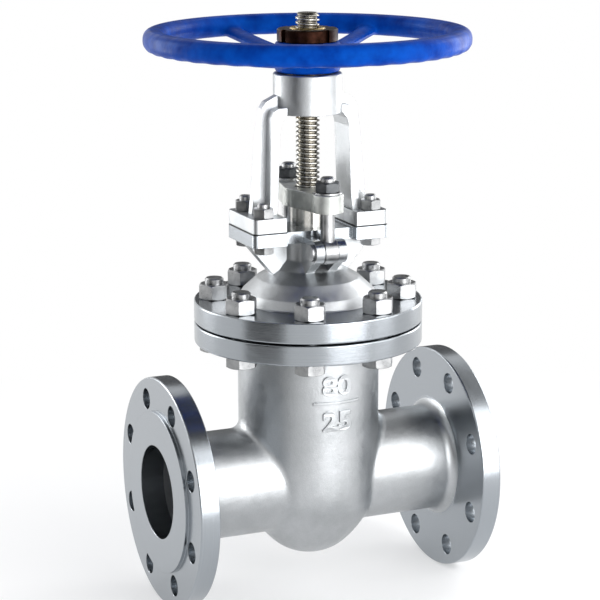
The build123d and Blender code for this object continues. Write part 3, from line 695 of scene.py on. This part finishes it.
wheel_parts = [rim(), hub()] + [spoke(FIRST_SPOKE + 360 / SPOKES * k) for k in range(SPOKES)]
wheel_points, wheel_faces = joined(wheel_parts)
wheel = outward(mesh_object("wheel_casting", wheel_points, wheel_faces))
fuse(wheel, VOXEL, SMOOTH_PASSES)
wheel.data.materials.append(BLUE)
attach(wheel, "wheel_assembly")
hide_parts("handwheel")
print("wheel faces", len(wheel.data.polygons))

# %% [markdown]
# ## Raised size figures
# Foundries cast the nominal size and the pressure into the front of the body
# as plain raised figures with a bar between. Figures start as flat text. The
# flat outline is then bent round the barrel: across becomes angle, and
# thickness becomes distance from the axis.

# %% Figures wrapped round the barrel
BARREL_R = 60.5 * MM
RELIEF = 1.7 * MM
SINK = 0.6 * MM
FIGURE_TALL = 17.5 * MM
WIDEN = 1.18
STRIPS = 25


def flat_figures(text, height):
    """Points and faces of extruded text, centred, of the given height."""
    curve = bpy.data.curves.new("figures", "FONT")
    curve.body = text
    curve.size = 1.0
    curve.extrude = 0.5
    curve.bevel_depth = 0.012
    curve.offset = 0.032
    curve.align_x = "CENTER"
    curve.resolution_u = 6
    obj = bpy.data.objects.new("figures", curve)
    bpy.context.scene.collection.objects.link(obj)
    bpy.context.view_layer.update()
    mesh = bpy.data.meshes.new_from_object(obj.evaluated_get(bpy.context.evaluated_depsgraph_get()))
    points = np.empty(len(mesh.vertices) * 3)
    mesh.vertices.foreach_get("co", points)
    points = points.reshape(-1, 3)
    faces = [list(p.vertices) for p in mesh.polygons]
    bpy.data.objects.remove(obj)
    scale = height / np.ptp(points[:, 1])
    points[:, 0] -= (points[:, 0].min() + points[:, 0].max()) / 2
    points[:, 1] -= points[:, 1].min()
    points[:, :2] *= scale
    points[:, 0] *= WIDEN
    points[:, 2] = (points[:, 2] - points[:, 2].min()) / np.ptp(points[:, 2])
    return points, faces


def bar(width, height):
    """A flat bar cut into strips so that it can bend."""
    u = np.linspace(-width / 2, width / 2, STRIPS)
    ring = np.array([(0, 0), (height, 0), (height, 1), (0, 1)], float)
    points = np.column_stack([np.repeat(u, 4), np.tile(ring, (STRIPS, 1))])
    faces = grid_faces(STRIPS, 4, False, True).tolist()
    faces += [[3, 2, 1, 0], list(range(4 * STRIPS - 4, 4 * STRIPS))]
    return points, faces


def wrap(points, base_z):
    """Bends flat points round the barrel, facing the front."""
    angle = points[:, 0] / BARREL_R
    r = BARREL_R - SINK + points[:, 2] * (RELIEF + SINK)
    return np.stack(
        [AXIS_X + r * np.sin(angle), AXIS_Y - r * np.cos(angle), base_z + points[:, 1]], -1
    )


size_figures, size_faces = flat_figures("80", FIGURE_TALL)
rating_figures, rating_faces = flat_figures("25", FIGURE_TALL)
bar_points, bar_faces = bar(42.0 * MM, 2.2 * MM)
mark_points, mark_faces = joined(
    [
        (wrap(size_figures, 84.0 * MM), size_faces),
        (wrap(bar_points, 77.0 * MM), bar_faces),
        (wrap(rating_figures, 53.5 * MM), rating_faces),
    ]
)
marks = outward(mesh_object("cast_figures", mark_points, mark_faces, smooth=False))
marks.data.materials.append(BODY_STEEL)
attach(marks, "valve_body")
print("figure faces", len(marks.data.polygons))

# %% [markdown]
# ## Camera
# A long lens from the front left, a little above the wheel's level, keeps the
# two flanges nearly round and the wheel a flat ellipse.

# %% Place the camera
EYE = Vector((-0.58146, -1.6466, 0.57054))
YAW, PITCH, ROLL = math.radians(23.442), math.radians(-13.06), math.radians(-0.178)
LENS = 129.5

look = Vector(
    (
        math.sin(YAW) * math.cos(PITCH),
        math.cos(YAW) * math.cos(PITCH),
        math.sin(PITCH),
    )
)
camera = bpy.data.objects.new("camera", bpy.data.cameras.new("camera"))
camera.data.lens = LENS
camera.data.sensor_width = 36.0
camera.data.clip_start = 0.05
camera.data.clip_end = 50.0
side = look.cross(Vector((0, 0, 1))).normalized()
above = side.cross(look)
right = side * math.cos(ROLL) + above * math.sin(ROLL)
up = above * math.cos(ROLL) - side * math.sin(ROLL)
camera.matrix_world = Matrix(
    (
        (right.x, up.x, -look.x, EYE.x),
        (right.y, up.y, -look.y, EYE.y),
        (right.z, up.z, -look.z, EYE.z),
        (0, 0, 0, 1),
    )
)
bpy.context.scene.collection.objects.link(camera)
bpy.context.scene.camera = camera
print("camera", [round(v, 3) for v in EYE], "lens", LENS)

# %% [markdown]
# ## Studio
# Bare metal shows its surroundings, so the surroundings are part of the look.
# Large soft panels give the broad highlights, and dark cards beside the set
# give the edges that make steel read as steel. The floor and the far
# background are white.

# %% Floor, cards, lamps and background
FLOOR_Z = cad_box[0].z
MIDDLE = Vector((AXIS_X, 0.0, 0.14))
FLOOR_R = 9.0
FLOOR_SIDES = 96
AMBIENT = (0.62, 0.63, 0.65, 1.0)


def white_rays(tree):
    """1 for rays that should meet the white background, otherwise 0."""
    path = tree.nodes.new("ShaderNodeLightPath")
    total = path.outputs["Is Camera Ray"]
    for kind in ("Is Glossy Ray", "Is Transmission Ray"):
        either = tree.nodes.new("ShaderNodeMath")
        either.operation = "MAXIMUM"
        tree.links.new(total, either.inputs[0])
        tree.links.new(path.outputs[kind], either.inputs[1])
        total = either.outputs[0]
    return total


def floor():
    """A wide white disc: it keeps the shadow near the valve and fades to white."""
    angle = np.linspace(0, 2 * np.pi, FLOOR_SIDES, endpoint=False)
    x, y = AXIS_X + FLOOR_R * np.cos(angle), FLOOR_R * np.sin(angle)
    points = np.stack([x, y, np.full(FLOOR_SIDES, FLOOR_Z)], -1)
    obj = mesh_object("floor", points, [list(range(FLOOR_SIDES))], smooth=False)
    g = Graph("floor_white", Roughness=0.9)
    g.bsdf.inputs["Base Color"].default_value = (0.93, 0.93, 0.93, 1.0)
    g.bsdf.inputs["Specular IOR Level"].default_value = 0.0
    x, y, _ = coordinates(g)
    away = g.spread(radius_about(g, x, y, AXIS_X, 0.0), 0.18, 0.75, 0.35, 1.0)
    glow = g.add("ShaderNodeEmission", Color=(1.0, 1.0, 1.0, 1.0), Strength=1.0)
    blend = g.tree.nodes.new("ShaderNodeMixShader")
    g.plug(blend.inputs[0], g.math("MULTIPLY", away, white_rays(g.tree)))
    g.plug(blend.inputs[1], g.bsdf.outputs[0])
    g.plug(blend.inputs[2], glow.outputs[0])
    g.plug(g.tree.nodes["Material Output"].inputs["Surface"], blend.outputs[0])
    obj.data.materials.append(g.mat)


def around(bearing, distance, height):
    """A place at a compass bearing (degrees from +X) round the stem."""
    a = math.radians(bearing)
    return MIDDLE + Vector((distance * math.cos(a), distance * math.sin(a), height))


def panel(name, place, width, height, power):
    """A soft rectangular lamp aimed at the valve; no camera sees it."""
    lamp = bpy.data.lights.new(name, "AREA")
    lamp.shape = "RECTANGLE"
    lamp.size, lamp.size_y = width, height
    lamp.energy = power
    obj = bpy.data.objects.new(name, lamp)
    obj.location = place
    obj.rotation_euler = (MIDDLE - place).to_track_quat("-Z", "Y").to_euler()
    obj.visible_camera = False
    bpy.context.scene.collection.objects.link(obj)


def upright(bearing, distance, width, low, high):
    """Corners of an upright rectangle at a bearing, facing the stem."""
    a = math.radians(bearing)
    side = np.array([-math.sin(a), math.cos(a)]) * width / 2
    foot = np.array([MIDDLE.x + distance * math.cos(a), MIDDLE.y + distance * math.sin(a)])
    left, right = foot - side, foot + side
    return [(*left, low), (*right, low), (*right, high), (*left, high)]


def overhead(half, height):
    """Corners of a level square above the stem."""
    x, y = MIDDLE.x, MIDDLE.y
    signs = ((-1, -1), (1, -1), (1, 1), (-1, 1))
    return [(x + i * half, y + j * half, height) for i, j in signs]


def card(name, corners, shade):
    """A matt card that bare metal reflects; it casts no shadow and no camera sees it."""
    obj = mesh_object(name, np.array(corners), [[0, 1, 2, 3]], smooth=False)
    g = Graph(name, Roughness=0.9)
    g.bsdf.inputs["Base Color"].default_value = (shade, shade, shade, 1.0)
    g.bsdf.inputs["Specular IOR Level"].default_value = 0.0
    obj.data.materials.append(g.mat)
    obj.visible_camera = False
    obj.visible_diffuse = False
    obj.visible_shadow = False


FRONT = math.degrees(math.atan2(EYE.y - MIDDLE.y, EYE.x - MIDDLE.x))
floor()
panel("key", around(FRONT + 38, 1.15, 0.12), 0.8, 1.0, 13.5)
panel("right", around(FRONT + 78, 1.15, 0.12), 0.5, 0.9, 2.8)
panel("side", around(FRONT - 115, 1.3, 0.3), 0.5, 1.1, 9.0)
panel("rear", around(FRONT + 130, 1.3, 0.3), 0.5, 1.1, 9.0)
panel("high", around(FRONT + 62, 1.3, 0.9), 0.7, 0.7, 3.5)
card("card_front_left", upright(FRONT - 42, 0.85, 0.62, FLOOR_Z, 0.75), 0.02)
card("card_top", overhead(0.75, 1.25), 0.03)
card("card_back", upright(FRONT + 180, 1.1, 0.6, FLOOR_Z, 0.9), 0.10)

world = bpy.data.worlds.new("studio")
world.use_nodes = True
bpy.context.scene.world = world
tree = world.node_tree
sky = tree.nodes["Background"]
blend = tree.nodes.new("ShaderNodeMix")
blend.data_type = "RGBA"
tree.links.new(white_rays(tree), blend.inputs[0])
blend.inputs[6].default_value = AMBIENT
blend.inputs[7].default_value = (1, 1, 1, 1)
tree.links.new(blend.outputs[2], sky.inputs["Color"])
sky.inputs["Strength"].default_value = 1.0

bpy.context.scene.view_settings.view_transform = "Standard"
print("lamps", len(bpy.data.lights), "front bearing", round(FRONT, 1))
